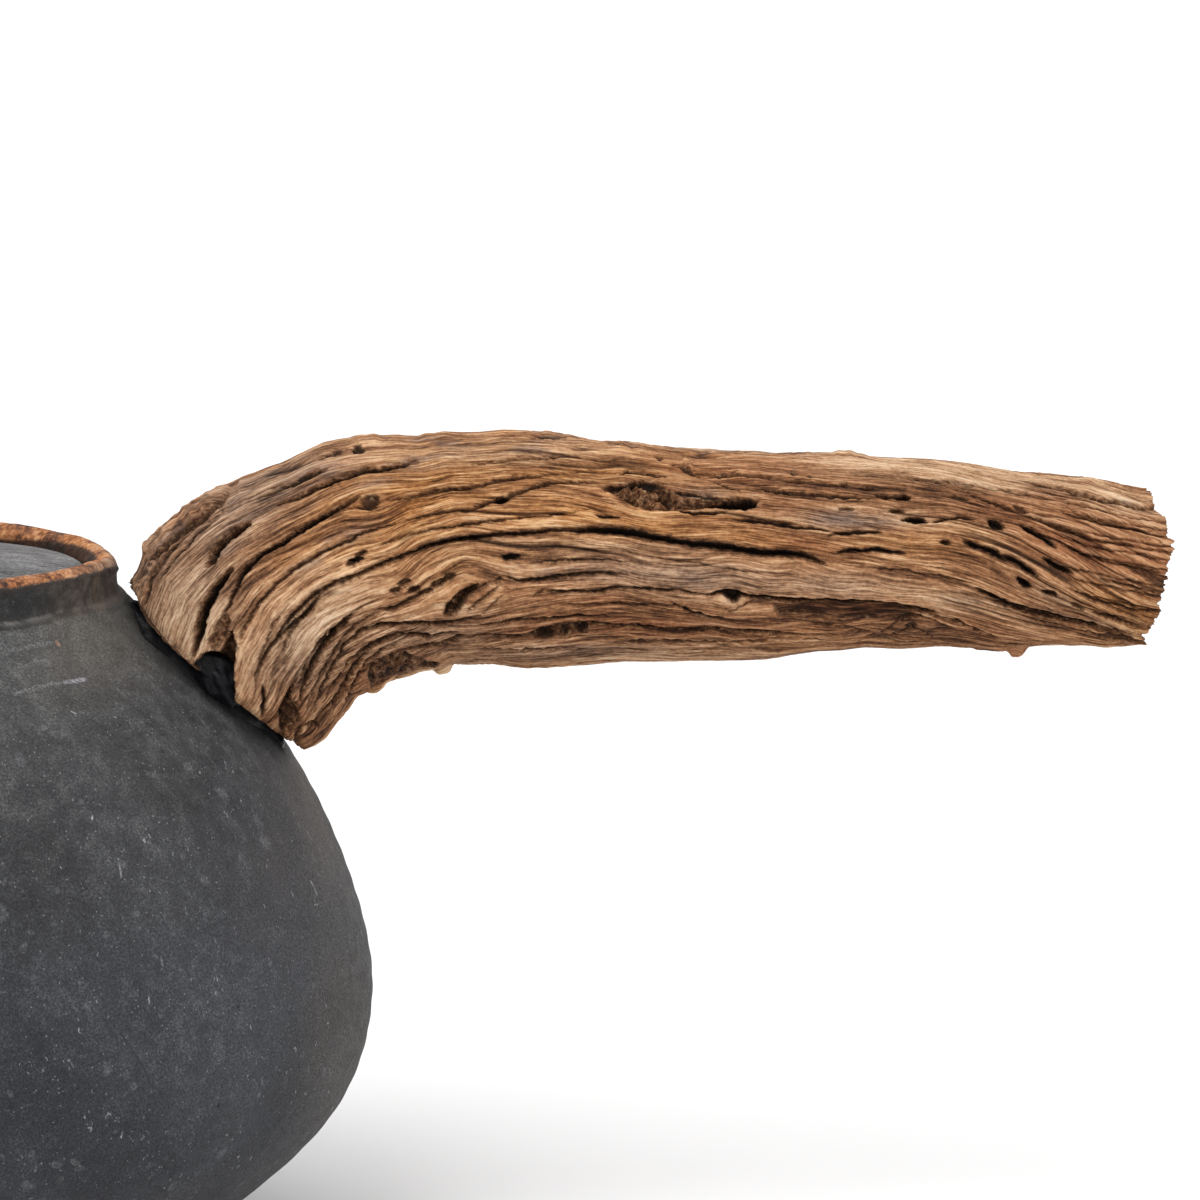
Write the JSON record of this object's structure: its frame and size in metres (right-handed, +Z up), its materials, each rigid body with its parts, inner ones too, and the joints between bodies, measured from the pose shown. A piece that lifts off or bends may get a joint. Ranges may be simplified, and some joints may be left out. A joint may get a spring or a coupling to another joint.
{
  "type": "side-handled teapot",
  "caption": "Squat stoneware teapot with a short collar, sunken lift-off lid, side spout with inner strainer, and a bent driftwood side handle bonded to the shoulder.",
  "frame": {"origin": "centre of the pot's flat base, on the surface it stands on", "axes": "+Z up along the pot's and lid's axis, +X along the driftwood handle, -Y along the spout"},
  "size_m": [0.2256, 0.1551, 0.1052],
  "materials": {
    "stoneware": "matte",
    "bare_clay": "matte",
    "lid_clay": "matte",
    "driftwood": "matte",
    "black_resin": "satin"
  },
  "bodies": {
    "pot": {"pot_foot": "stoneware", "pot_belly": "stoneware", "pot_shoulder": "stoneware", "pot_collar": "stoneware", "spout": "stoneware", "strainer": "bare_clay", "handle_stub": "bare_clay", "resin_bed": "black_resin", "handle_wood": "driftwood"},
    "lid": {"lid_plate": "lid_clay", "lid_flange": "bare_clay", "lid_knob": "stoneware"}
  },
  "joints": [
    {"name": "lid_lift", "type": "slide", "parent": "pot", "child": "lid", "axis": [0, 0, 1], "range_m": [0, 0.06]}
  ]
}
